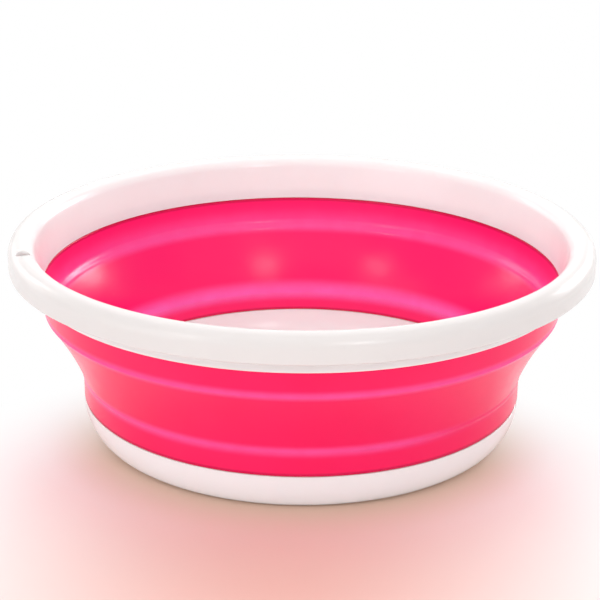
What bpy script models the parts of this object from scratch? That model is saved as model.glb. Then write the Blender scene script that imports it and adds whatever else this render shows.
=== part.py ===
"""Collapsible wash basin: a white moulded rim and base joined by a pink folding wall.

The basin is round about Z and stands on its foot at z = 0. The wall is one soft moulding on the
real basin. It is split here at its two creases, where it bends when the rim is pushed down, so
that the upper band moves with the rim, the lower band stays on the base and the middle band turns
inside out between them.

Every section is drawn in the XZ plane, in metres, and turned about Z.
"""

import math

import bpy
from mathutils import Matrix, Vector

# Turning and clearance
TURN_STEPS = 72
JOIN_GAP = 0.0003
WELD_DISTANCE = 0.00001
CUT_OVERRUN = 0.0040

# Rim: the lip, which is a channel open below, and the wall that drops from it to the soft wall
RIM_RADIUS = 0.1806
RIM_THICKNESS = 0.0022
CROWN_THICKNESS = 0.0031
CROWN_RADIUS = 0.0082
LIP_SIDE_HEIGHT = 0.0084
LIP_EDGE_RADIUS = 0.0018
RIM_WALL_HEIGHT = 0.0193
RIM_WALL_LEAN = 0.0042
SKIRT_DROP = 0.0186
SKIRT_EDGE_RADIUS = 0.0010
CROWN_POINTS = 10
EDGE_POINTS = 4

# Hang hole through the lip, at the left end and a little to the front
HANG_HOLE_RADIUS = 0.0043
HANG_HOLE_BEARING = math.radians(195.5)
HANG_HOLE_STEPS = 24

# Lap joint between the rim's wall and the upper band
LAP_HEIGHT = 0.0050
LAP_TONGUE_THICKNESS = 0.0009

# Soft wall
WALL_THICKNESS = 0.0020
HINGE_THICKNESS = 0.0012
HINGE_LENGTH = 0.0014
UPPER_BAND_HEIGHT = 0.0172
UPPER_BAND_TAPER = 0.0025
MIDDLE_BAND_HEIGHT = 0.0425
MIDDLE_BAND_FLARE = 0.0223
MIDDLE_BAND_HOLLOW = 0.0021
MIDDLE_BAND_POINTS = 8
LOWER_BAND_HEIGHT = 0.0149

# Base: a shallow dish on a foot ring
BASE_HEIGHT = 0.0241
BASE_THICKNESS = 0.0020
BASE_ROUND_WIDTH = 0.0160
BASE_ROUND_POINTS = 8
FOOT_INSET = 0.0127
FOOT_WIDTH = 0.0030
FOOT_DRAFT = 0.0006
FLOOR_UNDERSIDE = 0.0030
FLOOR_THICKNESS = 0.0022
STIFFENING_RING_RADIUS = 0.0620
STIFFENING_RING_WIDTH = 0.0024
STIFFENING_RING_DROP = 0.0012
GATE_RECESS_RADIUS = 0.0060
GATE_RECESS_DEPTH = 0.0005

# Heights above the table, worked out from the base up
LOWER_CREASE_Z = BASE_HEIGHT + LOWER_BAND_HEIGHT
UPPER_CREASE_Z = LOWER_CREASE_Z + MIDDLE_BAND_HEIGHT
JUNCTION_Z = UPPER_CREASE_Z + UPPER_BAND_HEIGHT
CROWN_Z = JUNCTION_Z + RIM_WALL_HEIGHT
FLOOR_Z = FLOOR_UNDERSIDE + FLOOR_THICKNESS

# Radii, worked out from the lip inwards
CROWN_R = RIM_RADIUS - CROWN_RADIUS
JUNCTION_R = CROWN_R - CROWN_RADIUS - RIM_WALL_LEAN
UPPER_CREASE_R = JUNCTION_R + WALL_THICKNESS - UPPER_BAND_TAPER
LOWER_CREASE_R = UPPER_CREASE_R - MIDDLE_BAND_FLARE
FOOT_R = LOWER_CREASE_R - FOOT_INSET
BASE_ROUND_CENTRE_R = LOWER_CREASE_R - BASE_ROUND_WIDTH

# Looks of the two plastics
WHITE = (0.93, 0.91, 0.91, 1.0)
PINK = (1.0, 0.035, 0.13, 1.0)
WHITE_ROUGHNESS = 0.18
PINK_ROUGHNESS = 0.42


def clear_scene():
    """Removes whatever the open file holds, so that the script starts from nothing."""
    for item in list(bpy.data.objects):
        bpy.data.objects.remove(item, do_unlink=True)


def plastic(name, colour, roughness):
    """A moulded plastic of one colour."""
    material = bpy.data.materials.new(name)
    material.use_nodes = True
    shader = material.node_tree.nodes["Principled BSDF"]
    shader.inputs["Base Color"].default_value = colour
    shader.inputs["Roughness"].default_value = roughness
    shader.inputs["Metallic"].default_value = 0.0
    material.diffuse_color = colour
    return material


def group(name, height, collection):
    """An empty on the basin's axis that carries one moving body."""
    carrier = bpy.data.objects.new(name, None)
    carrier.location = (0.0, 0.0, height)
    collection.objects.link(carrier)
    return carrier


def turned(name, section, closed, carrier, material, collection):
    """A round piece: its section, given as points of radius and height, turned about Z."""
    lift = carrier.location.z
    points = [(point.x, 0.0, point.y - lift) for point in section]
    edges = [(i, i + 1) for i in range(len(points) - 1)]
    if closed:
        edges.append((len(points) - 1, 0))
    mesh = bpy.data.meshes.new(name)
    mesh.from_pydata(points, edges, [])
    piece = bpy.data.objects.new(name, mesh)
    collection.objects.link(piece)
    piece.parent = carrier
    screw = piece.modifiers.new("turn", "SCREW")
    screw.axis = "Z"
    screw.angle = math.tau
    screw.screw_offset = 0.0
    screw.steps = TURN_STEPS
    screw.render_steps = TURN_STEPS
    screw.use_smooth_shade = True
    screw.use_merge_vertices = True
    screw.merge_threshold = WELD_DISTANCE
    piece.data.materials.append(material)
    return piece


def arc(centre, radius, start, end, count):
    """Points on a circle from the angle start to the angle end, both ends included."""
    turn = (end - start) / (count - 1)
    angles = [start + turn * i for i in range(count)]
    return [centre + Vector((math.cos(a), math.sin(a))) * radius for a in angles]


def touch_angle(point, centre, radius, side):
    """Angle on a circle where a straight line from a point outside it touches it.

    side is 1 for the touching point anticlockwise of the point and -1 for the clockwise one.
    """
    away = point - centre
    return math.atan2(away.y, away.x) + side * math.acos(radius / away.length)


def lap_frame():
    """The foot of the rim's wall, unit vectors up the wall and away from the basin's axis, and the
    angle where the wall runs into the crown.
    """
    crown = Vector((CROWN_R, CROWN_Z))
    foot = Vector((JUNCTION_R, JUNCTION_Z))
    angle = touch_angle(foot, crown, CROWN_RADIUS, -1) % math.tau
    inward = Vector((math.cos(angle), math.sin(angle)))
    up = (crown + inward * CROWN_RADIUS - foot).normalized()
    return foot, up, -inward, angle


def rim_section():
    """The rim: wall, crown and upright side, then back over the channel below the crown and down
    the skirt, whose foot has a groove for the soft wall.
    """
    foot, up, out, wall_angle = lap_frame()
    lip_z = CROWN_Z - LIP_SIDE_HEIGHT
    skirt_z = CROWN_Z - SKIRT_DROP
    channel_radius = CROWN_RADIUS - RIM_THICKNESS
    skirt_r = CROWN_R - channel_radius
    crown = Vector((CROWN_R, CROWN_Z))
    channel = Vector((CROWN_R, CROWN_Z - (CROWN_THICKNESS - RIM_THICKNESS)))
    lip_edge = Vector((RIM_RADIUS - LIP_EDGE_RADIUS, lip_z + LIP_EDGE_RADIUS))
    skirt_edge = Vector((skirt_r - SKIRT_EDGE_RADIUS, skirt_z + SKIRT_EDGE_RADIUS))
    shown = arc(crown, CROWN_RADIUS, wall_angle, 0.0, CROWN_POINTS)
    shown += arc(lip_edge, LIP_EDGE_RADIUS, 0.0, -math.pi / 2, EDGE_POINTS)
    hidden = [Vector((RIM_RADIUS - RIM_THICKNESS, lip_z))]
    hidden += arc(channel, channel_radius, 0.0, math.pi, CROWN_POINTS)
    hidden += arc(skirt_edge, SKIRT_EDGE_RADIUS, 0.0, -math.pi / 2, EDGE_POINTS)
    lap_top = foot + up * LAP_HEIGHT
    groove_side = foot + out * (WALL_THICKNESS + JOIN_GAP)
    groove = [
        groove_side + up * ((skirt_z - groove_side.y) / up.y),
        groove_side + up * LAP_HEIGHT,
        lap_top + out * LAP_TONGUE_THICKNESS,
        foot + out * LAP_TONGUE_THICKNESS,
        foot,
    ]
    return shown + hidden + groove


def upper_band_section():
    """The wall's upper band: a collar lapped outside the rim's tongue, then down to the crease."""
    foot, up, out, _ = lap_frame()
    collar_top = foot + up * (LAP_HEIGHT - JOIN_GAP)
    collar_inside = out * (LAP_TONGUE_THICKNESS + JOIN_GAP)
    seat_z = JUNCTION_Z - JOIN_GAP
    crease_z = UPPER_CREASE_Z + JOIN_GAP / 2
    taper = UPPER_BAND_TAPER / UPPER_BAND_HEIGHT
    hinge_top_r = UPPER_CREASE_R + taper * HINGE_LENGTH
    return [
        collar_top + out * WALL_THICKNESS,
        foot + out * WALL_THICKNESS,
        Vector((UPPER_CREASE_R, crease_z)),
        Vector((UPPER_CREASE_R - HINGE_THICKNESS, crease_z)),
        Vector((hinge_top_r - WALL_THICKNESS, crease_z + HINGE_LENGTH)),
        Vector((JUNCTION_R, seat_z)),
        Vector(((foot + collar_inside).x, seat_z)),
        collar_top + collar_inside,
    ]


def middle_band_radius(share):
    """Outer radius of the middle band at a share of its height, hollowed in from a plain cone."""
    cone = LOWER_CREASE_R + MIDDLE_BAND_FLARE * share
    return cone - 4 * MIDDLE_BAND_HOLLOW * share * (1 - share)


def middle_band_wall(share):
    """Thickness of the middle band along the radius, so that it is even square to the slope."""
    slope = (MIDDLE_BAND_FLARE - 4 * MIDDLE_BAND_HOLLOW * (1 - 2 * share)) / MIDDLE_BAND_HEIGHT
    return WALL_THICKNESS * math.hypot(1.0, slope)


def middle_band_section():
    """The wall's middle band: flared, thinned at the outside below and at the inside above."""
    thinning = WALL_THICKNESS - HINGE_THICKNESS
    end_share = JOIN_GAP / 2 / MIDDLE_BAND_HEIGHT
    hinge_share = HINGE_LENGTH / MIDDLE_BAND_HEIGHT
    first = end_share + hinge_share
    step = (1 - 2 * first) / (MIDDLE_BAND_POINTS - 1)
    shares = [first + step * i for i in range(MIDDLE_BAND_POINTS)]
    outer = [Vector((middle_band_radius(s), LOWER_CREASE_Z + s * MIDDLE_BAND_HEIGHT)) for s in shares]
    inner = [p - Vector((middle_band_wall(s), 0.0)) for p, s in zip(outer, shares)]
    top_z = UPPER_CREASE_Z - JOIN_GAP / 2
    foot_z = LOWER_CREASE_Z + JOIN_GAP / 2
    top = [Vector((UPPER_CREASE_R - HINGE_THICKNESS, top_z)), Vector((UPPER_CREASE_R, top_z))]
    foot = [
        Vector((LOWER_CREASE_R - thinning, foot_z)),
        Vector((LOWER_CREASE_R - WALL_THICKNESS, foot_z)),
    ]
    return top[1:] + outer[::-1] + foot + inner + top[:1]


def lower_band_section():
    """The wall's lower band: upright, thinned at the outside where the crease bends."""
    thinning = WALL_THICKNESS - HINGE_THICKNESS
    crease_z = LOWER_CREASE_Z - JOIN_GAP / 2
    seat_z = BASE_HEIGHT + JOIN_GAP
    return [
        Vector((LOWER_CREASE_R - WALL_THICKNESS, crease_z)),
        Vector((LOWER_CREASE_R - thinning, crease_z)),
        Vector((LOWER_CREASE_R, crease_z - thinning)),
        Vector((LOWER_CREASE_R, seat_z)),
        Vector((LOWER_CREASE_R - WALL_THICKNESS, seat_z)),
    ]


def base_section():
    """The base: flat floor, rounded side and foot ring, from the floor's middle round to below it."""
    foot_share = (FOOT_R - BASE_ROUND_CENTRE_R) / BASE_ROUND_WIDTH
    outer_drop = BASE_HEIGHT / math.sqrt(1 - foot_share**2)
    inner_width = BASE_ROUND_WIDTH - BASE_THICKNESS
    inner_drop = BASE_HEIGHT - FLOOR_Z
    centre = Vector((BASE_ROUND_CENTRE_R, BASE_HEIGHT))
    quarter = [math.pi / 2 * i / (BASE_ROUND_POINTS - 1) for i in range(BASE_ROUND_POINTS)]
    inner = [centre + Vector((inner_width * math.cos(a), -inner_drop * math.sin(a))) for a in quarter]
    last = math.acos(foot_share)
    sweep = [last * i / (BASE_ROUND_POINTS - 1) for i in range(BASE_ROUND_POINTS)]
    outer = [centre + Vector((BASE_ROUND_WIDTH * math.cos(a), -outer_drop * math.sin(a))) for a in sweep]
    foot_inner = FOOT_R - FOOT_WIDTH
    ring_z = FLOOR_UNDERSIDE - STIFFENING_RING_DROP
    gate_z = FLOOR_UNDERSIDE + GATE_RECESS_DEPTH
    below = [
        Vector((foot_inner, 0.0)),
        Vector((foot_inner - FOOT_DRAFT, FLOOR_UNDERSIDE)),
        Vector((STIFFENING_RING_RADIUS + STIFFENING_RING_WIDTH, FLOOR_UNDERSIDE)),
        Vector((STIFFENING_RING_RADIUS + STIFFENING_RING_WIDTH, ring_z)),
        Vector((STIFFENING_RING_RADIUS, ring_z)),
        Vector((STIFFENING_RING_RADIUS, FLOOR_UNDERSIDE)),
        Vector((GATE_RECESS_RADIUS, FLOOR_UNDERSIDE)),
        Vector((GATE_RECESS_RADIUS, gate_z)),
        Vector((0.0, gate_z)),
    ]
    return [Vector((0.0, FLOOR_Z))] + inner[::-1] + outer + below


def hang_hole_cutter(collection):
    """An upright drill through the crown of the lip."""
    height = CROWN_RADIUS + LIP_SIDE_HEIGHT + 2 * CUT_OVERRUN
    middle_z = CROWN_Z + CROWN_RADIUS + CUT_OVERRUN - height / 2
    bpy.ops.mesh.primitive_cylinder_add(vertices=HANG_HOLE_STEPS, radius=HANG_HOLE_RADIUS, depth=height)
    cutter = bpy.context.active_object
    cutter.name = "hang_hole_cutter"
    spot = Matrix.Rotation(HANG_HOLE_BEARING, 3, "Z") @ Vector((CROWN_R, 0.0, 0.0))
    cutter.location = (spot.x, spot.y, middle_z)
    cutter.hide_render = True
    cutter.display_type = "WIRE"
    for holder in list(cutter.users_collection):
        holder.objects.unlink(cutter)
    collection.objects.link(cutter)
    return cutter


def drill(piece, cutter):
    """Cuts the drill out of a piece."""
    cut = piece.modifiers.new("hang_hole", "BOOLEAN")
    cut.operation = "DIFFERENCE"
    cut.solver = "EXACT"
    cut.object = cutter


def main():
    """Builds the basin from the table up."""
    clear_scene()
    parts = bpy.data.collections.new("collapsible_wash_basin")
    cutters = bpy.data.collections.new("cutters")
    bpy.context.scene.collection.children.link(parts)
    bpy.context.scene.collection.children.link(cutters)

    standing = group("standing_body", 0.0, parts)
    folding = group("folding_body", LOWER_CREASE_Z, parts)
    sliding = group("sliding_body", JUNCTION_Z, parts)

    base_white = plastic("base_white", WHITE, WHITE_ROUGHNESS)
    turned("base", base_section(), False, standing, base_white, parts)
    lower_pink = plastic("lower_band_pink", PINK, PINK_ROUGHNESS)
    turned("lower_band", lower_band_section(), True, standing, lower_pink, parts)
    middle_pink = plastic("middle_band_pink", PINK, PINK_ROUGHNESS)
    turned("middle_band", middle_band_section(), True, folding, middle_pink, parts)
    upper_pink = plastic("upper_band_pink", PINK, PINK_ROUGHNESS)
    turned("upper_band", upper_band_section(), True, sliding, upper_pink, parts)
    rim_white = plastic("rim_white", WHITE, WHITE_ROUGHNESS)
    rim = turned("rim", rim_section(), True, sliding, rim_white, parts)
    drill(rim, hang_hole_cutter(cutters))


main()
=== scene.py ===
"""The looks of a collapsible wash basin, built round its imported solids.

The basin is three mouldings turned about one upright axis: a white rim with a rolled lip, a pink
folding wall and a white dished base. Each is drawn as a section in the plane of radius and height
and turned by Geometry Nodes. All sizes are in metres, in the frame of the solids.
"""

import logging
import math
from collections.abc import Callable
from dataclasses import dataclass, field
from enum import Enum
from typing import Any

import bpy
from mathutils import Matrix, Vector


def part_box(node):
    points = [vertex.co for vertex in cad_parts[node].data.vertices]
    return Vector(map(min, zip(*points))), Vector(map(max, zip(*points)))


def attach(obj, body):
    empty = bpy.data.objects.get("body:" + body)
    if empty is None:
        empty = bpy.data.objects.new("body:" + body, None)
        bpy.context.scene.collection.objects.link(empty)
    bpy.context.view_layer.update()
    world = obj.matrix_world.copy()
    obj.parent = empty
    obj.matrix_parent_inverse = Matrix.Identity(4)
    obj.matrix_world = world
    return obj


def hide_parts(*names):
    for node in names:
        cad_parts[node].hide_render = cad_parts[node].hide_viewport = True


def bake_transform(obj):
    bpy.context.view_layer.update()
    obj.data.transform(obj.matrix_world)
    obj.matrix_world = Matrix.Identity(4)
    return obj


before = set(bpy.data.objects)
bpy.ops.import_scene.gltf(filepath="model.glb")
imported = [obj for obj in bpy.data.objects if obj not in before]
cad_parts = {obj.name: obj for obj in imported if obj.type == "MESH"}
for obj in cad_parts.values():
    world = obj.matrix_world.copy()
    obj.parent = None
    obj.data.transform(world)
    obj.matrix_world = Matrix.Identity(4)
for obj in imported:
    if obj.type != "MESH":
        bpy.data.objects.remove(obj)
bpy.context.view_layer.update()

log = logging.getLogger("wash_basin")

Colour = tuple[float, float, float, float]
Pair = tuple[float, float]

PURE_WHITE: Colour = (1.0, 1.0, 1.0, 1.0)
OUTPUT_NODES = ("OUTPUT_MATERIAL", "OUTPUT_WORLD", "GROUP_OUTPUT")


class Body(Enum):
    """The rigid bodies that pieces ride on."""

    BASE = "base"
    RIM = "rim"


class Slot(Enum):
    """The record's material slots."""

    RIM = "rim_white"
    WALL = "wall_pink"
    BASE = "base_white"


@dataclass(frozen=True)
class Wire:
    """An output socket of a node that takes part in Python arithmetic.

    Args:
        graph: the node tree that the socket is in.
        socket: the output socket.
    """

    graph: "Graph"
    socket: bpy.types.NodeSocket

    def math(self, operation: str, *values: Any) -> "Wire":
        """A Math node on the values, in their order."""
        return self.graph.node("ShaderNodeMath", {"operation": operation}, dict(enumerate(values)))

    def __add__(self, other: Any) -> "Wire":
        """This plus another value."""
        return self.math("ADD", self, other)

    def __radd__(self, other: Any) -> "Wire":
        """Another value plus this."""
        return self.math("ADD", other, self)

    def __sub__(self, other: Any) -> "Wire":
        """This less another value."""
        return self.math("SUBTRACT", self, other)

    def __rsub__(self, other: Any) -> "Wire":
        """Another value less this."""
        return self.math("SUBTRACT", other, self)

    def __mul__(self, other: Any) -> "Wire":
        """This times another value."""
        return self.math("MULTIPLY", self, other)

    def __rmul__(self, other: Any) -> "Wire":
        """Another value times this."""
        return self.math("MULTIPLY", other, self)

    def __truediv__(self, other: Any) -> "Wire":
        """This over another value."""
        return self.math("DIVIDE", self, other)

    def root(self) -> "Wire":
        """The square root of this."""
        return self.math("SQRT", self)

    def smooth(self, start: float, end: float) -> "Wire":
        """A soft step that is 0 where this is at start, and 1 where it is at end."""
        values = {"Value": self, "From Min": start, "From Max": end}
        return self.graph.node("ShaderNodeMapRange", {"interpolation_type": "SMOOTHSTEP"}, values)

    def beside(self, name: str) -> "Wire":
        """Another output of the node that this one is on."""
        return Wire(self.graph, self.socket.node.outputs[name])


@dataclass
class Graph:
    """A node tree that is built from Python expressions.

    Args:
        tree: the node tree of a material, a world or a Geometry Nodes group.
    """

    tree: bpy.types.NodeTree

    def node(
        self, kind: str, settings: dict[str, Any], inputs: dict[Any, Any], out: Any = 0
    ) -> Wire:
        """Adds a node.

        Args:
            kind: the node's type.
            settings: its settings by name, which are set first.
            inputs: values or wires, by the input's name or number.
            out: the name or number of the output that is wanted.

        Returns:
            The wire that leaves that output.
        """
        made = self.tree.nodes.new(kind)
        for name, value in settings.items():
            setattr(made, name, value)
        for name, value in inputs.items():
            if isinstance(value, Wire):
                self.tree.links.new(value.socket, made.inputs[name])
            else:
                made.inputs[name].default_value = value
        return Wire(self, made.outputs[out])

    def place(self) -> Wire:
        """Where a point of the piece is."""
        return self.node("ShaderNodeTexCoord", {}, {}, "Object")

    def along(self, place: Wire, axis: str) -> Wire:
        """How far a place lies along one axis."""
        return self.node("ShaderNodeSeparateXYZ", {}, {"Vector": place}, axis)

    def mark(self, name: str) -> Wire:
        """The value of a mesh attribute."""
        return self.node("ShaderNodeAttribute", {"attribute_name": name}, {}, "Fac")

    def mix(self, share: Wire, first: Any, second: Any) -> Wire:
        """The colour that has this share of the second colour and the rest of the first."""
        colours = {"Factor": share, 6: first, 7: second}
        return self.node("ShaderNodeMix", {"data_type": "RGBA"}, colours, 2)

    def noise(self, place: Wire, scale: float, detail: float) -> Wire:
        """Smooth noise of a given number of blots to the metre."""
        inputs = {"Vector": place, "Scale": scale, "Detail": detail}
        return self.node("ShaderNodeTexNoise", {}, inputs)

    def relief(self, height: Wire) -> Wire:
        """The way that a surface faces where its height varies."""
        return self.node("ShaderNodeBump", {}, {"Height": height, "Distance": 1.0, "Strength": 1.0})

    def surface(self, inputs: dict[str, Any]) -> Wire:
        """A Principled shader."""
        return self.node("ShaderNodeBsdfPrincipled", {}, inputs)

    def light_path(self, ray: str) -> Wire:
        """Whether the ray that meets a point is of one kind."""
        return self.node("ShaderNodeLightPath", {}, {}, ray)

    def end(self, name: str, wire: Wire) -> None:
        """Leads a wire to an input of the tree's output node."""
        output = next(node for node in self.tree.nodes if node.type in OUTPUT_NODES)
        self.tree.links.new(wire.socket, output.inputs[name])


def new_shader(name: str) -> tuple[bpy.types.Material, Graph]:
    """Starts a material.

    Args:
        name: the material's name.

    Returns:
        The material and its tree, with nothing in it but the output node.
    """
    material = bpy.data.materials.new(name)
    material.use_nodes = True
    material.node_tree.nodes.clear()
    material.node_tree.nodes.new("ShaderNodeOutputMaterial")
    return material, Graph(material.node_tree)


def add_object(name: str, content: bpy.types.ID) -> bpy.types.Object:
    """Adds an object to the scene.

    Args:
        name: the object's name.
        content: its mesh, lamp or lens.

    Returns:
        The object.
    """
    made = bpy.data.objects.new(name, content)
    bpy.context.scene.collection.objects.link(made)
    return made


@dataclass(frozen=True)
class Blots:
    """Soft blots all over a surface.

    Args:
        scale: blots to the metre.
        detail: how many finer layers of blots lie over them.
        faint: the level of noise at which a blot begins to show.
        full: the level at which it shows fully.
    """

    scale: float
    detail: float
    faint: float = 0.3
    full: float = 0.7

    def at(self, graph: Graph, place: Wire) -> Wire:
        """How fully a blot shows at a place, from 0 to 1."""
        return graph.noise(place, self.scale, self.detail).smooth(self.faint, self.full)


@dataclass(frozen=True)
class GlossPlastic:
    """White injection-moulded polypropylene: glossy, faintly clouded, and greyer with painted shade
    on the rim's lip and scuffs on the base.

    Args:
        name: the material's name.
        colour: the plastic's colour.
        cloud_colour: its colour where the melt has clouded it.
        shade_and_scuff_colour: its colour where marked, which is painted shade on the outside of
            the rim's lip and scuffing where the table touches the base.
        shade_and_scuff_mark: the mesh attribute that marks those places.
        clouds: the clouded places.
        dull_spots: the places where the mould was polished least.
        sheen_roughness: roughness where the mould was polished best.
        dull_roughness: roughness where it was polished least.
        shade_and_scuff_roughness: what the marked places add to the roughness.
        wave_scale: waves of the surface to the metre.
        wave_detail: how many finer layers those waves have.
        wave_height: height of those waves.
        specular: specular level.
        milkiness: how much of the light sinks into the plastic.
        sink_depth: how deep it sinks, for red, green and blue.
    """

    name: str
    colour: Colour
    cloud_colour: Colour
    shade_and_scuff_colour: Colour
    shade_and_scuff_mark: str = "shade_and_scuff"
    clouds: Blots = Blots(24.0, 3.0, 0.38, 0.68)
    dull_spots: Blots = Blots(62.4, 4.0)
    sheen_roughness: float = 0.15
    dull_roughness: float = 0.23
    shade_and_scuff_roughness: float = 0.04
    wave_scale: float = 34.0
    wave_detail: float = 1.0
    wave_height: float = 0.00006
    specular: float = 0.5
    milkiness: float = 0.3
    sink_depth: tuple[float, float, float] = (0.0036, 0.0034, 0.0032)

    def material(self) -> bpy.types.Material:
        """Builds the material.

        Returns:
            The material.
        """
        material, graph = new_shader(self.name)
        place = graph.place()
        # the marked places are greyed: painted shade on the outside of the rim's lip, table scuffs
        # on the base
        shade_and_scuff = graph.mark(self.shade_and_scuff_mark)
        body = graph.mix(self.clouds.at(graph, place), self.colour, self.cloud_colour)
        dulling = self.dull_spots.at(graph, place) * (self.dull_roughness - self.sheen_roughness)
        waves = graph.noise(place, self.wave_scale, self.wave_detail) * self.wave_height
        inputs = {
            "Base Color": graph.mix(shade_and_scuff, body, self.shade_and_scuff_colour),
            "Roughness": self.sheen_roughness + dulling + shade_and_scuff * self.shade_and_scuff_roughness,
            "Specular IOR Level": self.specular,
            "Subsurface Weight": self.milkiness,
            "Subsurface Radius": self.sink_depth,
            "Subsurface Scale": 1.0,
            "Normal": graph.relief(waves),
        }
        graph.end("Surface", graph.surface(inputs))
        return material


@dataclass(frozen=True)
class SatinElastomer:
    """Pink soft elastomer: satin, with painted light: a paler inner skin and highlight stripes
    along each crease.

    Args:
        name: the material's name.
        colour: the outer skin's colour.
        deep_colour: its colour where the pigment lies thicker.
        lining_lit_colour: the inner skin's colour, paler and bluer than the outer skin's as painted
            light.
        crease_highlight_colour: the colour of the painted highlight along a crease.
        seam_shade_colour: the colour of the painted shade right at a joint with a white moulding.
        lining_mark: the mesh attribute that marks the inner skin.
        crease_highlight_mark: the mesh attribute that marks the painted highlight along the
            creases.
        seam_shade_mark: the mesh attribute that marks the painted shade at those joints.
        wane: how much of its painted highlight the lower crease has lost on the side of +X.
        wane_across: the X at which that begins, and the X at which it is complete.
        wane_down: the height at which that begins, and the height at which it is complete.
        mottling: the places where the pigment lies thicker.
        rubbing: the dull places.
        rubbed_highlight_share: how much of a crease's painted highlight only its dull places have.
        satin_roughness: roughness of the smooth places.
        dull_roughness: roughness of the dull places.
        grain_scale: specks of the skin to the metre.
        grain_detail: how many finer layers those specks have.
        grain_height: height of those specks.
        specular: specular level.
        sheen: how much the skin glows where it is seen edge on.
        sheen_roughness: how wide that glow is.
    """

    name: str
    colour: Colour
    deep_colour: Colour
    lining_lit_colour: Colour
    crease_highlight_colour: Colour
    seam_shade_colour: Colour
    lining_mark: str = "lining"
    crease_highlight_mark: str = "crease"
    seam_shade_mark: str = "seam"
    wane: float = 0.8
    wane_across: Pair = (0.05, 0.105)
    wane_down: Pair = (0.062, 0.052)
    mottling: Blots = Blots(17.0, 3.0, 0.35, 0.7)
    rubbing: Blots = Blots(85.0, 4.0)
    rubbed_highlight_share: float = 0.14
    satin_roughness: float = 0.20
    dull_roughness: float = 0.265
    grain_scale: float = 700.0
    grain_detail: float = 3.0
    grain_height: float = 0.000004
    specular: float = 0.26
    sheen: float = 0.05
    sheen_roughness: float = 0.3

    def material(self) -> bpy.types.Material:
        """Builds the material.

        Returns:
            The material.
        """
        material, graph = new_shader(self.name)
        place = graph.place()
        across = graph.along(place, "X")
        rub = self.rubbing.at(graph, place)
        grain = graph.noise(place, self.grain_scale, self.grain_detail) * self.grain_height
        inner = graph.mark(self.lining_mark)
        outer_body = graph.mix(self.mottling.at(graph, place), self.colour, self.deep_colour)
        # painted light: the inner skin gets a paler, bluer copy of the pink
        body = graph.mix(inner, outer_body, self.lining_lit_colour)
        side = across.smooth(*self.wane_across) * across.beside("Z").smooth(*self.wane_down)
        rubbed = 1.0 - self.rubbed_highlight_share + rub * self.rubbed_highlight_share
        waned = 1.0 - side * (1.0 - inner) * self.wane
        # painted highlight stripes along the creases, fading on the side of +X
        crease_highlight_share = graph.mark(self.crease_highlight_mark) * rubbed * waned
        skin = graph.mix(crease_highlight_share, body, self.crease_highlight_colour)
        inputs = {
            # painted shade darkens the pink right at the joints with the white mouldings
            "Base Color": graph.mix(graph.mark(self.seam_shade_mark), skin, self.seam_shade_colour),
            "Roughness": self.satin_roughness + rub * (self.dull_roughness - self.satin_roughness),
            "Specular IOR Level": self.specular,
            "Sheen Weight": self.sheen,
            "Sheen Roughness": self.sheen_roughness,
            "Normal": graph.relief(grain),
        }
        graph.end("Surface", graph.surface(inputs))
        return material


@dataclass(frozen=True)
class Corner:
    """A corner of a section.

    Args:
        place: its radius and height.
        rounding: the radius that it is rounded to, or 0 where it is a point of a curve.
    """

    place: Vector
    rounding: float = 0.0


@dataclass
class Section:
    """A section of a turned piece, as corners that are joined by straight lines.

    Args:
        closed: whether the last corner is joined to the first, rather than both being on the axis.
        spacing: the longest that a straight piece of the finished section may be.
        round_step: the angle between the points of a rounded corner.
        corners: the corners, in order.
    """

    closed: bool
    spacing: float = 0.0016
    round_step: float = math.radians(11.0)
    corners: list[Corner] = field(default_factory=list)

    def run(self, rounding: float, *places: Vector | Pair) -> None:
        """Adds corners that are rounded alike, or a curve's points where the rounding is 0."""
        self.corners += [Corner(Vector(place), rounding) for place in places]

    def arc(self, centre: Vector, reach: Pair, start: float, end: float, steps: int) -> None:
        """Adds a stretch of an ellipse.

        Args:
            centre: its middle.
            reach: its half width and half height.
            start: the angle that it starts at.
            end: the angle that it ends at.
            steps: how many straight pieces it has.
        """
        for i in range(steps + 1):
            angle = start + (end - start) * i / steps
            across, rise = reach[0] * math.cos(angle), reach[1] * math.sin(angle)
            self.run(0.0, (centre.x + across, centre.y + rise))

    def rounded(self) -> list[Vector]:
        """Rounds the corners.

        Returns:
            The section's points with its corners rounded.
        """
        points: list[Vector] = []
        for i, corner in enumerate(self.corners):
            if corner.rounding == 0.0:
                points.append(corner.place)
                continue
            before = self.corners[i - 1].place - corner.place
            after = self.corners[(i + 1) % len(self.corners)].place - corner.place
            points += self.round_off(corner, before, after)
        return points

    def round_off(self, corner: Corner, before: Vector, after: Vector) -> list[Vector]:
        """Rounds one corner.

        Args:
            corner: the corner.
            before: the way from it to the corner before.
            after: the way from it to the corner after.

        Returns:
            Points of the arc that takes the corner's place.
        """
        half = before.angle(after) / 2
        reach = min(corner.rounding / math.tan(half), before.length / 2, after.length / 2)
        radius = reach * math.tan(half)
        first, last = before.normalized(), after.normalized()
        centre = corner.place + (first + last).normalized() * radius / math.sin(half)
        start = corner.place + first * reach - centre
        turn = start.angle_signed(corner.place + last * reach - centre)
        steps = max(2, math.ceil(abs(turn) / self.round_step))
        return [centre + Matrix.Rotation(-turn * i / steps, 2) @ start for i in range(steps + 1)]

    def points(self) -> list[Vector]:
        """Finishes the section.

        Returns:
            Its points, none of them far from the next.
        """
        rounded = self.rounded()
        ends = rounded[1:] + rounded[:1] if self.closed else rounded[1:]
        finished: list[Vector] = []
        for start, end in zip(rounded, ends):
            pieces = max(1, math.ceil((end - start).length / self.spacing))
            finished += [start.lerp(end, i / pieces) for i in range(pieces)]
        return finished if self.closed else finished + rounded[-1:]


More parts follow.
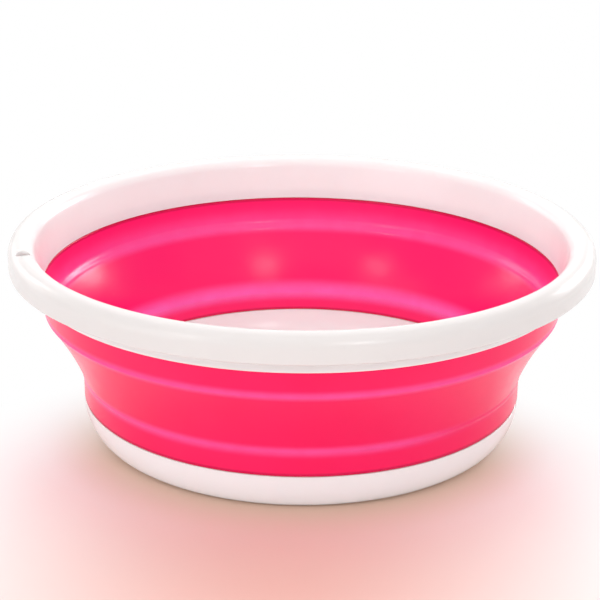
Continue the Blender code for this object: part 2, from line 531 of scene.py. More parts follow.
@dataclass
class Lathe:
    """Turns sections about the upright axis with Geometry Nodes.

    Args:
        steps: straight pieces in a full turn.
        path_radius: radius of the small circle that the section is carried round.
        weld: distance within which points at the axis are joined.
    """

    steps: int = 256
    path_radius: float = 0.0001
    weld: float = 0.000005

    def tree(self, name: str) -> tuple[bpy.types.NodeTree, dict[str, str]]:
        """Builds the tree that carries a section round the axis and closes it there.

        Args:
            name: the tree's name.

        Returns:
            The tree, and the identifier of each of its inputs by name.
        """
        graph = Graph(bpy.data.node_groups.new(name, "GeometryNodeTree"))
        face = graph.tree.interface
        kinds = {
            "Section": "NodeSocketGeometry",
            "Steps": "NodeSocketInt",
            "Path Radius": "NodeSocketFloat",
            "Weld": "NodeSocketFloat",
            "Finish": "NodeSocketMaterial",
        }
        sockets = {n: face.new_socket(n, in_out="INPUT", socket_type=k) for n, k in kinds.items()}
        face.new_socket("Piece", in_out="OUTPUT", socket_type="NodeSocketGeometry")
        given = {n: graph.node("NodeGroupInput", {}, {}, n) for n in kinds}
        graph.tree.nodes.new("NodeGroupOutput")

        outline = graph.node("GeometryNodeMeshToCurve", {}, {"Mesh": given["Section"]})
        ring = {"Resolution": given["Steps"], "Radius": given["Path Radius"]}
        path = graph.node("GeometryNodeCurvePrimitiveCircle", {}, ring)
        swept = {"Curve": path, "Profile Curve": outline}
        skin = graph.node("GeometryNodeCurveToMesh", {}, swept)
        joined = {"Geometry": skin, "Distance": given["Weld"]}
        closed = graph.node("GeometryNodeMergeByDistance", {}, joined)
        smooth = graph.node("GeometryNodeSetShadeSmooth", {}, {"Geometry": closed})
        real = graph.node("GeometryNodeRealizeInstances", {}, {"Geometry": smooth})
        dressed = {"Geometry": real, "Material": given["Finish"]}
        graph.end("Piece", graph.node("GeometryNodeSetMaterial", {}, dressed))
        return graph.tree, {n: socket.identifier for n, socket in sockets.items()}

    def turn(
        self,
        name: str,
        section: Section,
        material: bpy.types.Material,
        marks: dict[str, Callable[[Vector], float]],
    ) -> bpy.types.Object:
        """Turns a section into a closed mesh.

        Args:
            name: the piece's name.
            section: its section.
            material: its finish.
            marks: what gives each mesh attribute its value at a point of the section.

        Returns:
            The piece, as a plain mesh at the origin with its faces pointing out.
        """
        points = section.points()
        edges = [(i, i + 1) for i in range(len(points) - 1)]
        if section.closed:
            edges.append((len(points) - 1, 0))
        mesh = bpy.data.meshes.new(name + "_section")
        mesh.from_pydata([(p.x - self.path_radius, -p.y, 0.0) for p in points], edges, [])
        for mark, value in marks.items():
            values = [float(value(point)) for point in points]
            mesh.attributes.new(mark, "FLOAT", "POINT").data.foreach_set("value", values)
        drawing = add_object(name + "_section", mesh)
        modifier = drawing.modifiers.new("turning", "NODES")
        modifier.node_group, sockets = self.tree(name + "_turning")
        modifier[sockets["Steps"]] = self.steps
        modifier[sockets["Path Radius"]] = self.path_radius
        modifier[sockets["Weld"]] = self.weld
        modifier[sockets["Finish"]] = material
        return solid_piece(name, drawing, material)


def solid_piece(
    name: str, drawing: bpy.types.Object, material: bpy.types.Material
) -> bpy.types.Object:
    """Makes a plain mesh of what an object's modifiers give, and removes that object.

    Args:
        name: the name of the new piece.
        drawing: the object with the modifiers.
        material: the piece's finish.

    Returns:
        The new piece.
    """
    evaluated = drawing.evaluated_get(bpy.context.evaluated_depsgraph_get())
    mesh = bpy.data.meshes.new_from_object(evaluated)
    mesh.name = name
    bpy.data.objects.remove(drawing, do_unlink=True)
    if signed_volume(mesh) < 0.0:
        mesh.flip_normals()
    mesh.materials.clear()
    mesh.materials.append(material)
    return add_object(name, mesh)


def signed_volume(mesh: bpy.types.Mesh) -> float:
    """Works out the volume inside a closed mesh.

    Args:
        mesh: the mesh.

    Returns:
        The volume, which is negative where the mesh's faces point inwards.
    """
    mesh.calc_loop_triangles()
    places = [vertex.co for vertex in mesh.vertices]
    corners = ([places[i] for i in triangle.vertices] for triangle in mesh.loop_triangles)
    return sum(a.dot(b.cross(c)) for a, b, c in corners) / 6


def within_one(value: float) -> float:
    """A value held between 0 and 1."""
    return min(1.0, max(0.0, value))


@dataclass
class BasinSizes:
    """The sizes that the basin's pieces share, taken from its solids.

    Args:
        joint_gap: the gap between two mouldings where they meet.
        seam_drop: how far the seam with the base lies below the top of the solid base.
        wall_thickness: the folding wall's thickness.
        rim_wall_height: the white wall between the soft wall and the middle of the lip.
        rim_wall_lean: how much wider that wall is above than below.
        crown_radius: the radius of the lip's round top.
        tongue_thickness: the rim's thickness inside the soft wall's collar.
    """

    joint_gap: float = 0.0003
    seam_drop: float = 0.0005
    wall_thickness: float = 0.0020
    rim_wall_height: float = 0.0193
    rim_wall_lean: float = 0.0042
    crown_radius: float = 0.0082
    tongue_thickness: float = 0.0009

    def __post_init__(self) -> None:
        """Reads the main sizes off the solids."""
        high_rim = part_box("rim")[1]
        low_band, high_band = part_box("middle_band")
        self.rim_radius = high_rim.x
        self.crown_height = high_rim.z - self.crown_radius
        self.crown_place_radius = self.rim_radius - self.crown_radius
        self.junction_height = self.crown_height - self.rim_wall_height
        self.junction_radius = self.crown_place_radius - self.crown_radius - self.rim_wall_lean
        self.upper_crease_radius = high_band.x
        self.upper_crease_height = high_band.z + self.joint_gap / 2
        self.lower_crease_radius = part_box("lower_band")[1].x
        self.lower_crease_height = low_band.z - self.joint_gap / 2
        self.base_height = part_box("base")[1].z - self.seam_drop

    @property
    def crown(self) -> Vector:
        """The middle of the lip's round top."""
        return Vector((self.crown_place_radius, self.crown_height))

    @property
    def junction(self) -> Vector:
        """Where the rim's wall ends inside the basin and the folding wall begins."""
        return Vector((self.junction_radius, self.junction_height))

    @property
    def wall_angle(self) -> float:
        """The angle on the lip's round top where the rim's straight wall runs into it."""
        away = self.junction - self.crown
        return (math.atan2(away.y, away.x) - math.acos(self.crown_radius / away.length)) % math.tau

    @property
    def up(self) -> Vector:
        """The way up along the rim's wall."""
        spoke = Vector((math.cos(self.wall_angle), math.sin(self.wall_angle)))
        return (self.crown + spoke * self.crown_radius - self.junction).normalized()

    @property
    def out(self) -> Vector:
        """The way out of the basin, square to the rim's wall."""
        return Vector((self.up.y, -self.up.x))


@dataclass
class Rim:
    """The white rim: a lip that is a channel open below, its wall, and a hang hole at one end.

    Args:
        sizes: the basin's shared sizes.
        thickness: the moulding's thickness.
        crown_thickness: its thickness at the lip's top.
        side_height: how far the lip's outer edge lies below the middle of its round top.
        lip_rounding: the radius of that edge.
        skirt_drop: how far the skirt's edge lies below the middle of the lip's round top.
        skirt_rounding: the radius of the skirt's edge.
        lap_height: the height of the joint with the soft wall.
        edge_rounding: the rounding of its edges.
        hole_radius: the hang hole's radius.
        hole_bearing: the way round from +X to the hang hole.
        hole_rounding: the rounding of the hang hole's edge.
        hole_bends: the angles, in degrees, at which that rounding has rings of corners.
        hole_runout: how far the drill's flare runs on past the rounding, in roundings.
        hole_steps: straight pieces round the hole.
        crown_steps: straight pieces over the lip's round top.
        channel_steps: straight pieces over the channel.
        lip_shade_inset: how far inside the lip's middle the painted shade begins to show, in crown
            radii.
    """

    sizes: BasinSizes
    thickness: float = 0.0022
    crown_thickness: float = 0.0031
    side_height: float = 0.0084
    lip_rounding: float = 0.0018
    skirt_drop: float = 0.0186
    skirt_rounding: float = 0.0010
    lap_height: float = 0.0050
    edge_rounding: float = 0.0003
    hole_radius: float = 0.0043
    hole_bearing: float = math.radians(195.5)
    hole_rounding: float = 0.0007
    hole_bends: tuple[float, ...] = (0.0, 14.0, 28.0, 42.0, 56.0)
    hole_runout: float = 3.0
    hole_steps: int = 72
    crown_steps: int = 44
    channel_steps: int = 22
    lip_shade_inset: float = 0.6

    def section(self) -> Section:
        """Draws the rim's section.

        Returns:
            The section: up the wall, over the crown, down the side, back over the channel and
            down the skirt to the joint with the soft wall.
        """
        s = self.sizes
        section = Section(closed=True)
        channel_radius = s.crown_radius - self.thickness
        channel = s.crown - Vector((0.0, self.crown_thickness - self.thickness))
        lip_edge = s.crown_height - self.side_height
        skirt_edge = s.crown_height - self.skirt_drop
        skirt = s.crown_place_radius - channel_radius
        lap = s.junction + s.up * self.lap_height
        groove = s.out * (s.wall_thickness + s.joint_gap)
        side = s.junction + groove
        groove_foot = side + s.up * ((skirt_edge - side.y) / s.up.y)
        tongue = s.out * s.tongue_thickness
        joint = (groove_foot, lap + groove, lap + tongue, s.junction + tongue, s.junction)
        section.arc(s.crown, (s.crown_radius,) * 2, s.wall_angle, 0.0, self.crown_steps)
        section.run(self.lip_rounding, (s.rim_radius, lip_edge))
        section.run(self.edge_rounding, (s.rim_radius - self.thickness, lip_edge))
        section.arc(channel, (channel_radius,) * 2, 0.0, math.pi, self.channel_steps)
        section.run(self.skirt_rounding, (skirt, skirt_edge))
        section.run(self.edge_rounding, *joint)
        return section

    def lip_height(self, reach: float, angle: float) -> float:
        """Finds the height of the lip's round top near the hang hole.

        Args:
            reach: the distance from the hole's middle.
            angle: the direction from there, 0 being away from the basin's axis.

        Returns:
            The height above the table.
        """
        s = self.sizes
        across = math.hypot(s.crown_place_radius + reach * math.cos(angle), reach * math.sin(angle))
        aside = across - s.crown_place_radius
        return s.crown_height + math.sqrt(s.crown_radius**2 - aside**2)

    def ring(self, reach: float, height: Callable[[float], float]) -> list[Vector]:
        """Makes a ring of the drill's corners.

        Args:
            reach: its distance from the hole's middle.
            height: its height, by the direction from there.

        Returns:
            The corners.
        """
        turn = Matrix.Rotation(self.hole_bearing, 3, "Z")
        centre = Vector((self.sizes.crown_place_radius, 0.0, 0.0))
        angles = [math.tau * i / self.hole_steps for i in range(self.hole_steps)]
        spots = [Vector((reach * math.cos(a), reach * math.sin(a), height(a))) for a in angles]
        return [turn @ (centre + spot) for spot in spots]

    def flare(self, bend: float, runout: float = 0.0) -> list[Vector]:
        """Makes a ring of the drill where it widens to round the hole's edge.

        Args:
            bend: how far the rounding has turned there, in degrees.
            runout: how far the ring lies past that, straight on.

        Returns:
            The ring's corners.
        """
        across, rise = math.sin(math.radians(bend)), math.cos(math.radians(bend))
        reach = self.hole_radius + self.hole_rounding * (1 - rise)
        sunk = self.hole_rounding * (1 - across)

        def height(angle: float) -> float:
            """The ring's height, by the direction from the hole's middle."""
            return self.lip_height(reach, angle) - sunk + runout * rise

        return self.ring(reach + runout * across, height)

    def drill(self) -> bpy.types.Object:
        """Makes a drill for the hang hole, flared to follow the lip's round top.

        Returns:
            The drill, from below the skirt to above the lip.
        """
        s = self.sizes
        low = s.crown_height - self.skirt_drop - self.thickness
        high = s.crown_height + s.crown_radius * 2
        rings = [self.ring(self.hole_radius, lambda angle: low)]
        rings += [self.flare(bend) for bend in self.hole_bends]
        rings.append(self.flare(self.hole_bends[-1], self.hole_rounding * self.hole_runout))
        rings.append([Vector((spot.x, spot.y, high)) for spot in rings[-1]])
        places = [spot for ring in rings for spot in ring]
        count = self.hole_steps
        faces = [
            (start + i, start + (i + 1) % count, start + count + (i + 1) % count, start + count + i)
            for start in range(0, len(places) - count, count)
            for i in range(count)
        ]
        faces += [tuple(reversed(range(count))), tuple(range(len(places) - count, len(places)))]
        mesh = bpy.data.meshes.new("hole_drill")
        mesh.from_pydata(places, [], faces)
        return add_object("hole_drill", mesh)

    def painted_lip_shade(self, point: Vector) -> float:
        """How much painted shade greys the plastic at a point of the section: fully on the lip's
        outside.
        """
        start = self.sizes.crown_place_radius - self.sizes.crown_radius * self.lip_shade_inset
        return within_one((point.x - start) / self.sizes.crown_radius)

    def build(self, lathe: Lathe, finish: GlossPlastic) -> bpy.types.Object:
        """Turns the rim and drills its hang hole.

        Args:
            lathe: what turns the section.
            finish: the rim's finish.

        Returns:
            The finished piece.
        """
        material = finish.material()
        # painted shade greys the outside of the lip
        marks = {finish.shade_and_scuff_mark: self.painted_lip_shade}
        whole = lathe.turn("rim_moulding_whole", self.section(), material, marks)
        drill = self.drill()
        cut = whole.modifiers.new("hang_hole", "BOOLEAN")
        cut.operation = "DIFFERENCE"
        cut.solver = "EXACT"
        cut.object = drill
        piece = solid_piece("rim_moulding", whole, material)
        bpy.data.objects.remove(drill, do_unlink=True)
        piece.data.shade_smooth()
        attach(piece, Body.RIM.value)
        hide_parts("rim")
        return piece


@dataclass(frozen=True)
class Stripe:
    """The painted highlight stripe along a crease on one skin of the wall.

    Args:
        rise: how far its brightest line lies above the crease.
        above: how far above that line it has faded out.
        below: how far below it.
        strength: how strong the painted highlight is at its brightest, from 0 to 1.
    """

    rise: float
    above: float
    below: float
    strength: float

    def highlight_strength(self, offset: float) -> float:
        """Finds how strong the painted highlight is near the crease.

        Args:
            offset: how far above the crease the place is.

        Returns:
            The painted highlight's strength there, from 0 to 1.
        """
        away = offset - self.rise
        share = max(0.0, 1.0 - abs(away) / (self.above if away > 0.0 else self.below))
        return self.strength * share * share * (3.0 - 2.0 * share)


@dataclass(frozen=True)
class Swelling:
    """A low ridge along each crease, on one skin of the wall.

    Args:
        rise: how far its middle lies above the crease.
        reach: how far above and below its middle it ends.
        height: how far it stands out of the skin.
    """

    rise: float
    reach: float
    height: float

    def at(self, offsets: list[float]) -> float:
        """How far the skin stands out at these heights over its creases."""
        shares = [min(1.0, abs(offset - self.rise) / self.reach) for offset in offsets]
        return self.height * sum(math.cos(math.pi / 2.0 * share) ** 2 for share in shares)


@dataclass
class FoldingWall:
    """The pink wall: an upper band, a middle band that turns inside out, and a lower band.

    Args:
        sizes: the basin's shared sizes.
        collar_height: the height of the collar that laps outside the rim.
        hollow: how far the middle band is hollowed in from a plain cone.
        skin_step: the height between the points of the section's skins.
        skin_margin: the height that those points leave free at the wall's ends.
        spacing: the longest straight piece elsewhere in the section.
        crease_softness: how far above and below a crease its rounding reaches.
        soft_steps: how many heights on each side of a point that rounding takes in.
        bead: the ridge on the outer skin.
        rib: the ridge on the inner skin.
        edge_rounding: the rounding of the wall's edges.
        seam_shade_reach: how far from a joint the painted shade reaches, fully dark over half of
            that.
        outer_upper: the painted highlight stripe of the upper crease on the outer skin.
        outer_lower: the painted highlight stripe of the lower crease on the outer skin.
        inner_upper: the painted highlight stripe of the upper crease on the inner skin.
        inner_lower: the painted highlight stripe of the lower crease on the inner skin.
    """

    sizes: BasinSizes
    collar_height: float = 0.0047
    hollow: float = 0.0021
    skin_step: float = 0.0005
    skin_margin: float = 0.0010
    spacing: float = 0.0012
    crease_softness: float = 0.0026
    soft_steps: int = 6
    bead: Swelling = Swelling(rise=0.0006, reach=0.0019, height=0.0005)
    rib: Swelling = Swelling(rise=-0.0026, reach=0.0020, height=0.00028)
    edge_rounding: float = 0.0005
    seam_shade_reach: float = 0.0026
    outer_upper: Stripe = Stripe(rise=0.0012, above=0.0042, below=0.0046, strength=0.52)
    outer_lower: Stripe = Stripe(rise=0.0006, above=0.0048, below=0.0052, strength=0.53)
    inner_upper: Stripe = Stripe(rise=-0.0021, above=0.0160, below=0.0052, strength=0.53)
    inner_lower: Stripe = Stripe(rise=-0.0012, above=0.0098, below=0.0086, strength=1.0)

    def offsets(self, height: float) -> list[float]:
        """How far a height lies above the upper and the lower crease."""
        return [height - self.sizes.upper_crease_height, height - self.sizes.lower_crease_height]

    def outer_line(self, height: float) -> float:
        """Finds the outer skin before its creases are rounded.

        Args:
            height: the height.

        Returns:
            The skin's radius there.
        """
        s = self.sizes
        if height > s.upper_crease_height:
            top = s.junction + s.out * s.wall_thickness
            share = (height - s.upper_crease_height) / (top.y - s.upper_crease_height)
            return s.upper_crease_radius + (top.x - s.upper_crease_radius) * share
        share = (height - s.lower_crease_height) / (s.upper_crease_height - s.lower_crease_height)
        if share < 0.0:
            return s.lower_crease_radius
        cone = s.lower_crease_radius + (s.upper_crease_radius - s.lower_crease_radius) * share
        return cone - 4.0 * self.hollow * share * (1.0 - share)

    def inner_line(self, height: float) -> float:
        """Finds the inner skin before its creases are rounded.

        Args:
            height: the height.

        Returns:
            The skin's radius there, a wall's thickness inside the outer skin.
        """
        step = self.skin_step
        slope = (self.outer_line(height + step) - self.outer_line(height - step)) / (2.0 * step)
        return self.outer_line(height) - self.sizes.wall_thickness * math.hypot(1.0, slope)

    def softened(self, line: Callable[[float], float], height: float) -> float:
        """Rounds a skin's creases.

        Args:
            line: the skin's radius by height, with sharp creases.
            height: the height.

        Returns:
            The mean of the radii just above and below that height.
        """
        shares = [i / self.soft_steps for i in range(-self.soft_steps, self.soft_steps + 1)]
        weights = [1.0 - share * share for share in shares]
        radii = [line(height + self.crease_softness * share) for share in shares]
        return sum(w * r for w, r in zip(weights, radii)) / sum(weights)

    def outer_radius(self, height: float) -> float:
        """The finished outer skin's radius at a height."""
        return self.softened(self.outer_line, height) + self.bead.at(self.offsets(height))

    def inner_radius(self, height: float) -> float:
        """The finished inner skin's radius at a height."""
        return self.softened(self.inner_line, height) - self.rib.at(self.offsets(height))

    def section(self) -> Section:
        """Draws the wall's section.

        Returns:
            The section: down the wall's outside, across its foot and up its inside.
        """
        s = self.sizes
        section = Section(closed=True, spacing=self.spacing)
        collar = s.junction + s.up * self.collar_height
        lap = s.out * (s.tongue_thickness + s.joint_gap)
        shoulder = s.junction + s.out * s.wall_thickness
        seat = s.junction_height - s.joint_gap
        foot = s.base_height + s.joint_gap
        tall = shoulder.y - foot - 2.0 * self.skin_margin
        count = round(tall / self.skin_step)
        heights = [foot + self.skin_margin + tall * i / count for i in range(count + 1)]
        outside = s.lower_crease_radius
        section.run(self.edge_rounding, collar + s.out * s.wall_thickness)
        section.run(0.0, shoulder, *((self.outer_radius(h), h) for h in reversed(heights)))
        section.run(self.edge_rounding, (outside, foot), (outside - s.wall_thickness, foot))
        section.run(0.0, *((self.inner_radius(h), h) for h in heights))
        section.run(self.edge_rounding, (s.junction_radius, seat))
        section.run(0.0, ((s.junction + lap).x, seat))
        section.run(self.edge_rounding, collar + lap)
        return section

    def is_inside(self, point: Vector) -> bool:
        """Whether a point of the section is on the inner skin."""
        return point.x < (self.outer_radius(point.y) + self.inner_radius(point.y)) / 2.0

    def highlight_strength(self, point: Vector) -> float:
        """Finds how strongly a crease's painted highlight shows on the wall.

        Args:
            point: a point of the section.

        Returns:
            The painted highlight's strength there, from 0 to 1.
        """
        upper, lower = self.outer_upper, self.outer_lower
        if self.is_inside(point):
            upper, lower = self.inner_upper, self.inner_lower
        over_upper, over_lower = self.offsets(point.y)
        return max(upper.highlight_strength(over_upper), lower.highlight_strength(over_lower))

    def seam(self, point: Vector) -> float:
        """Finds how much painted shade darkens the pink near a joint with a white moulding.

        Args:
            point: a point of the section.

        Returns:
            The painted shade's strength, from 0 out of the joint's reach to 1 right beside it.
        """
        s = self.sizes
        top = s.junction_height if self.is_inside(point) else s.crown_height
        away = min(abs(point.y - s.base_height), abs(point.y - top))
        return within_one(2.0 - 2.0 * away / self.seam_shade_reach)

    def build(self, lathe: Lathe, finish: SatinElastomer) -> bpy.types.Object:
        """Turns the wall, which reaches from the base up to the rim.

        Args:
            lathe: what turns the section.
            finish: the wall's finish.

        Returns:
            The finished piece.
        """
        # marks for painted light: highlight stripes at the creases, the inner skin's paler colour,
        # and shade by the joints
        marks = {
            finish.crease_highlight_mark: self.highlight_strength,
            finish.lining_mark: self.is_inside,
            finish.seam_shade_mark: self.seam,
        }
        piece = lathe.turn("folding_wall", self.section(), finish.material(), marks)
        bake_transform(piece)
        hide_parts("upper_band", "middle_band", "lower_band")
        return piece


@dataclass
class Base:
    """The white base: a flat floor, a rounded side and a foot ring.

    Args:
        sizes: the basin's shared sizes.
        thickness: the moulding's thickness at the side.
        round_width: how far the side curves in from its top.
        top_margin: the angle of that curve that is left straight at its top.
        foot_margin: the angle of it that is left straight at the foot ring.
        foot_inset: how far the foot ring lies inside the side.
        foot_width: the width of the foot ring.
        foot_draft: how much the foot ring's inner side leans.
        floor_underside: the height of the floor's underside.
        floor_thickness: the floor's thickness.
        ring_radius: the radius of the stiffening ring under the floor.
        ring_width: its width.
        ring_drop: its depth.
        gate_radius: the radius of the recess where the plastic was let in.
        gate_depth: its depth.
        gate_rounding: the rounding of its edges.
        scuff_height: the height up to which the table scuffs it.
        edge_rounding: the rounding of its edges.
        round_steps: straight pieces down the rounded side.
        floor_spacing: the distance between the floor's rings of faces.
    """

    sizes: BasinSizes
    thickness: float = 0.0020
    round_width: float = 0.0160
    top_margin: float = 0.06
    foot_margin: float = 0.03
    foot_inset: float = 0.0127
    foot_width: float = 0.0030
    foot_draft: float = 0.0006
    floor_underside: float = 0.0030
    floor_thickness: float = 0.0022
    ring_radius: float = 0.0620
    ring_width: float = 0.0024
    ring_drop: float = 0.0012
    gate_radius: float = 0.0060
    gate_depth: float = 0.0005
    gate_rounding: float = 0.00015
    scuff_height: float = 0.0009
    edge_rounding: float = 0.0003
    round_steps: int = 26
    floor_spacing: float = 0.0060

    def section(self) -> Section:
        """Draws the base's section.

        Returns:
            The section: from the middle of the floor up its inside and down to its underside.
        """
        s = self.sizes
        side = s.lower_crease_radius
        middle = Vector((side - self.round_width, s.base_height))
        foot = side - self.foot_inset
        floor = self.floor_underside + self.floor_thickness
        share = (foot - middle.x) / self.round_width
        inner_reach = (self.round_width - self.thickness, s.base_height - floor)
        outer_reach = (self.round_width, s.base_height / math.sqrt(1 - share**2))
        top, last = -self.top_margin, -math.acos(share) + self.foot_margin
        section = Section(closed=False, spacing=self.floor_spacing)
        section.run(0.0, (0.0, floor))
        section.arc(middle, inner_reach, -math.pi / 2, top, self.round_steps)
        section.run(
            self.edge_rounding, (side - self.thickness, s.base_height), (side, s.base_height)
        )
        section.arc(middle, outer_reach, top, last, self.round_steps)
        self.underside(section, foot)
        return section

    def underside(self, section: Section, foot: float) -> None:
        """Adds the foot ring, and the stiffening ring and the recess under the floor.

        Args:
            section: the base's section, which has come down the side.
            foot: the foot ring's outer radius.
        """
        under, tip = self.floor_underside, self.floor_underside - self.ring_drop
        foot_inside = foot - self.foot_width
        outer_side, inner_side = self.ring_radius + self.ring_width, self.ring_radius
        recess = under + self.gate_depth
        foot_ring = ((foot, 0.0), (foot_inside, 0.0), (foot_inside - self.foot_draft, under))
        stiffening_ring = ((outer_side, under), (outer_side, tip), (inner_side, tip))
        section.run(self.edge_rounding, *foot_ring, *stiffening_ring, (inner_side, under))
        section.run(self.gate_rounding, (self.gate_radius, under), (self.gate_radius, recess))
        section.run(0.0, (0.0, recess))

    def scuffing(self, point: Vector) -> float:
        """How much the table has scuffed the plastic at a point of the section."""
        return max(0.0, 1.0 - point.y / self.scuff_height)

    def build(self, lathe: Lathe, finish: GlossPlastic) -> bpy.types.Object:
        """Turns the base.

        Args:
            lathe: what turns the section.
            finish: the base's finish.

        Returns:
            The finished piece.
        """
        marks = {finish.shade_and_scuff_mark: self.scuffing}
        piece = lathe.turn("base_moulding", self.section(), finish.material(), marks)
        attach(piece, Body.BASE.value)
        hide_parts("base")
        return piece


class Use(Enum):
    """What a lamp is there for: all of the light, its reflection alone, or the fill alone."""

    ALL = "all"
    GLOSS = "gloss"
    FILL = "fill"


@dataclass(frozen=True)
class Softbox:
    """A soft lamp outside the picture.

    Args:
        name: the lamp's name.
        bearing: the way to it from the basin, in degrees round from +X.
        elevation: its height above the table, in degrees.
        width: the angle that it takes up sideways, in degrees.
        height: the angle that it takes up upwards, in degrees.
        brightness: how bright its face looks, where white paper in the room looks about 1.
        use: what it is there for.
        distance: its distance from the basin's middle.
    """

    name: str
    bearing: float
    elevation: float
    width: float
    height: float
    brightness: float
    use: Use = Use.ALL
    distance: float = 2.5

    def span(self, angle: float) -> float:
        """How long the lamp's side is that takes up an angle in degrees."""
        return 2.0 * self.distance * math.tan(math.radians(angle) / 2.0)

    def build(self, target: Vector) -> None:
        """Adds the lamp to the scene.

        Args:
            target: the basin's middle, which the lamp faces.
        """
        bearing, elevation = math.radians(self.bearing), math.radians(self.elevation)
        level = math.cos(elevation)
        way = Vector((level * math.cos(bearing), level * math.sin(bearing), math.sin(elevation)))
        lamp = bpy.data.lights.new(self.name, "AREA")
        lamp.shape = "RECTANGLE"
        lamp.size = self.span(self.width)
        lamp.size_y = self.span(self.height)
        lamp.energy = self.brightness * math.pi * lamp.size * lamp.size_y
        stand = add_object(self.name, lamp)
        stand.location = target + way * self.distance
        stand.rotation_euler = (-way).to_track_quat("-Z", "Y").to_euler()
        stand.visible_diffuse = self.use is not Use.GLOSS
        stand.visible_glossy = self.use is not Use.FILL


@dataclass(frozen=True)
class Oval:
    """An oval on the floor.

    Args:
        middle: its middle.
        reach: its half width and half depth.
    """

    middle: Pair
    reach: Pair

    def distance(self, across: Wire, along: Wire) -> Wire:
        """Measures how far a place on the floor is from the oval's middle.

        Args:
            across: the place's X.
            along: the place's Y.

        Returns:
            The wire of the distance, which is 1 on the oval.
        """
        wide = (across - self.middle[0]) / self.reach[0]
        deep = (along - self.middle[1]) / self.reach[1]
        return (wide * wide + deep * deep).root()


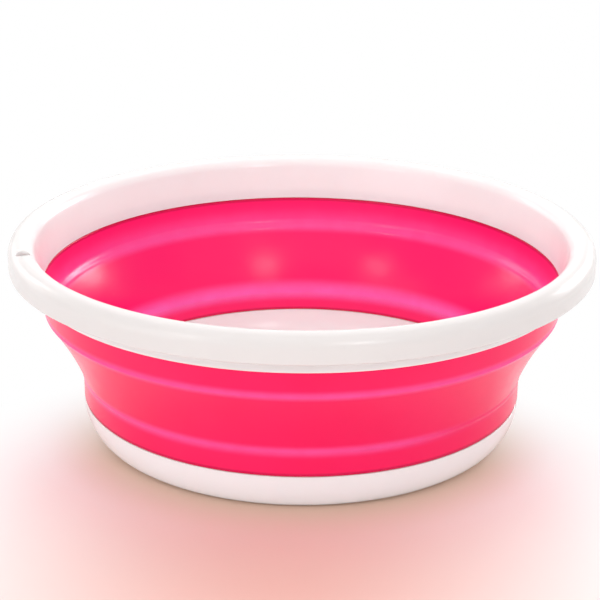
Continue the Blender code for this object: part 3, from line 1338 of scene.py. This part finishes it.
@dataclass
class Studio:
    """The camera, the floor, the surroundings and the lamps.

    Args:
        image_width: the picture's width in pixels.
        focal_pixels: the lens's focal length in pixels.
        sensor_width: the sensor's width in millimetres.
        camera_pitch: how far the camera looks down.
        camera_roll: how far it is turned about its own axis.
        camera_distance: its distance from the point that it looks at.
        aim: that point.
        floor_size: the floor's width.
        floor_drop: how far the floor lies below the basin's foot.
        floor_white: the floor's colour.
        floor_blush: the colour of the floor's pinkish part.
        floor_roughness: the floor's roughness.
        floor_specular: its specular level.
        blush: the edge of the pinkish part, which is strongest at its middle.
        bounced_blush: how much of the pinkish colour the floor throws back on the basin.
        shade_colour: the floor's colour close round the basin's foot.
        shade_fade: the distances from the basin's middle where that begins to fade and is gone.
        plain: the edge of the part of the floor that isn't plain white.
        fade: the shares of that part between which the floor turns plain white.
        mirrored_fade: the same for the floor's reflection in the basin.
        surround_strength: how brightly the surroundings light the basin.
        boxes: the lamps.
    """

    image_width: int = 600
    focal_pixels: float = 1831.0
    sensor_width: float = 36.0
    camera_pitch: float = math.radians(20.22)
    camera_roll: float = math.radians(0.384)
    camera_distance: float = 1.1486
    aim: tuple[float, float, float] = (-0.00106, 0.0, 0.0805)
    floor_size: float = 12.0
    floor_drop: float = 0.0002
    floor_white: Colour = (0.93, 0.91, 0.90, 1.0)
    floor_blush: Colour = (0.81, 0.50, 0.435, 1.0)
    floor_roughness: float = 0.6
    floor_specular: float = 0.2
    blush: Oval = Oval(middle=(-0.01, -0.26), reach=(0.25, 0.32))
    bounced_blush: float = 0.12
    shade_colour: Colour = (0.80, 0.54, 0.42, 1.0)
    shade_fade: Pair = (0.122, 0.172)
    plain: Oval = Oval(middle=(-0.008, -0.19), reach=(0.235, 0.27))
    fade: Pair = (0.62, 1.10)
    mirrored_fade: Pair = (0.85, 1.12)
    surround_strength: float = 0.415
    # Each lamp's name, bearing, elevation, width, height, brightness and use
    boxes: tuple[Softbox, ...] = (
        Softbox("ceiling", 90.0, 88.0, 60.0, 60.0, 0.65),
        Softbox("ceiling_fill", 90.0, 88.0, 60.0, 60.0, 1.3, Use.FILL),
        Softbox("back_high_panel", 90.0, 60.0, 60.0, 24.0, 0.95),
        Softbox("back_panel", 90.0, 36.0, 60.0, 22.0, 0.9, Use.GLOSS),
        Softbox("back_low_panel", 90.0, 14.0, 60.0, 18.0, 0.9),
        Softbox("right_low_panel", 40.0, 12.0, 40.0, 18.0, 1.9),
        Softbox("left_low_panel", 140.0, 12.0, 40.0, 18.0, 1.5),
        Softbox("front_left_panel", 220.0, 12.0, 40.0, 20.0, 1.25),
        Softbox("front_low_panel", -95.0, 12.0, 60.0, 18.0, 0.4),
        Softbox("front_panel", -90.0, 40.0, 50.0, 20.0, 0.5),
        Softbox("front_high_panel", -90.0, 62.0, 50.0, 20.0, 0.4),
        Softbox("front_right_panel", -40.0, 40.0, 36.0, 30.0, 0.28),
        Softbox("right_fill", 40.0, 20.0, 40.0, 30.0, 1.1, Use.FILL),
        Softbox("left_fill", 150.0, 20.0, 40.0, 30.0, 0.6, Use.FILL),
        Softbox("front_right_fill", -35.0, 14.0, 40.0, 22.0, 0.8, Use.FILL),
        Softbox("front_left_fill", 212.0, 14.0, 40.0, 22.0, 0.65, Use.FILL),
        Softbox("right_window", 43.0, 18.5, 21.0, 17.0, 12.0, Use.GLOSS),
        Softbox("left_window", 141.0, 26.0, 13.0, 18.0, 3.6, Use.GLOSS),
        Softbox("front_right_lamp", -69.0, 31.0, 9.0, 13.0, 7.5),
        Softbox("front_left_lamp", -134.0, 31.0, 13.0, 10.0, 5.0),
    )

    def add_camera(self) -> None:
        """Adds the camera at the photograph's angle."""
        lens = bpy.data.cameras.new("camera")
        lens.sensor_width = self.sensor_width
        lens.lens = self.sensor_width * self.focal_pixels / self.image_width
        camera = add_object("camera", lens)
        back = Vector((0.0, -math.cos(self.camera_pitch), math.sin(self.camera_pitch)))
        camera.location = Vector(self.aim) + back * self.camera_distance
        look = Matrix.Rotation(math.pi / 2.0 - self.camera_pitch, 3, "X")
        camera.rotation_euler = (look @ Matrix.Rotation(self.camera_roll, 3, "Z")).to_euler()
        bpy.context.scene.camera = camera

    def floor_material(self) -> bpy.types.Material:
        """Builds the floor's finish.

        Returns:
            The material: pale, pinkish in front of the basin and plain white further away.
        """
        material, graph = new_shader("pale_floor")
        across = graph.along(graph.place(), "X")
        along = across.beside("Y")
        camera = graph.light_path("Is Camera Ray")
        glossy = camera.beside("Is Glossy Ray")
        seen = camera.math("MAXIMUM", camera, glossy)
        blush = self.blush.distance(across, along).smooth(1.0, 0.0)
        share = blush * (self.bounced_blush + (1.0 - self.bounced_blush) * seen)
        from_basin = (across * across + along * along).root()
        shade = from_basin.smooth(*reversed(self.shade_fade))
        colour = graph.mix(share, self.floor_white, self.floor_blush)
        inputs = {
            "Base Color": graph.mix(shade * seen, colour, self.shade_colour),
            "Roughness": self.floor_roughness,
            "Specular IOR Level": self.floor_specular,
        }
        white = graph.node("ShaderNodeEmission", {}, {"Color": PURE_WHITE, "Strength": 1.0})
        away = self.plain.distance(across, along)
        bare = away.smooth(*self.fade) * camera + away.smooth(*self.mirrored_fade) * glossy
        halves = {0: bare, 1: graph.surface(inputs), 2: white}
        graph.end("Surface", graph.node("ShaderNodeMixShader", {}, halves))
        return material

    def add_floor(self) -> None:
        """Adds the floor that the basin stands on."""
        half = self.floor_size / 2.0
        corners = [(-half, -half), (half, -half), (half, half), (-half, half)]
        mesh = bpy.data.meshes.new("floor")
        mesh.from_pydata([(x, y, -self.floor_drop) for x, y in corners], [], [(0, 1, 2, 3)])
        mesh.materials.append(self.floor_material())
        floor = add_object("floor", mesh)

    def add_surroundings(self) -> None:
        """Surrounds the basin with even white light, which is plain white to the camera."""
        world = bpy.data.worlds.new("white_room")
        world.use_nodes = True
        bpy.context.scene.world = world
        graph = Graph(world.node_tree)
        graph.tree.nodes.clear()
        graph.tree.nodes.new("ShaderNodeOutputWorld")
        seen = graph.light_path("Is Camera Ray")
        strength = self.surround_strength + seen * (1.0 - self.surround_strength)
        light = {"Color": PURE_WHITE, "Strength": strength}
        graph.end("Surface", graph.node("ShaderNodeBackground", {}, light))

    def build(self) -> None:
        """Sets up the camera, floor, surroundings and lamps."""
        self.add_camera()
        self.add_floor()
        self.add_surroundings()
        for box in self.boxes:
            box.build(Vector(self.aim))
        bpy.context.scene.view_settings.view_transform = "Standard"


def main() -> None:
    """Builds the studio and then the basin from the table up."""
    logging.basicConfig(level=logging.INFO, format="%(name)s: %(message)s")
    Studio().build()
    sizes = BasinSizes()
    lathe = Lathe()
    rim_white = GlossPlastic(
        name="rim_white_plastic",
        colour=(0.895, 0.865, 0.86, 1.0),
        cloud_colour=(0.88, 0.85, 0.845, 1.0),
        # painted shade: the outside of the lip is greyed to this colour
        shade_and_scuff_colour=(0.76, 0.72, 0.71, 1.0),
    )
    base_white = GlossPlastic(
        name="base_white_plastic",
        colour=(0.92, 0.91, 0.905, 1.0),
        cloud_colour=(0.905, 0.895, 0.89, 1.0),
        shade_and_scuff_colour=(0.86, 0.82, 0.80, 1.0),
    )
    pink = SatinElastomer(
        name="pink_elastomer",
        colour=(1.0, 0.0098, 0.120, 1.0),
        deep_colour=(0.985, 0.0075, 0.110, 1.0),
        # painted light: the inner skin's paler colour
        lining_lit_colour=(1.0, 0.0125, 0.160, 1.0),
        # painted highlight along the creases
        crease_highlight_colour=(1.0, 0.139, 0.51, 1.0),
        # painted shade at the joints
        seam_shade_colour=(0.66, 0.004, 0.07, 1.0),
    )
    pieces = (
        Base(sizes).build(lathe, base_white),
        FoldingWall(sizes).build(lathe, pink),
        Rim(sizes).build(lathe, rim_white),
    )
    for piece in pieces:
        log.info("%s: %d faces", piece.name, len(piece.data.polygons))


if __name__ == "__main__":
    main()
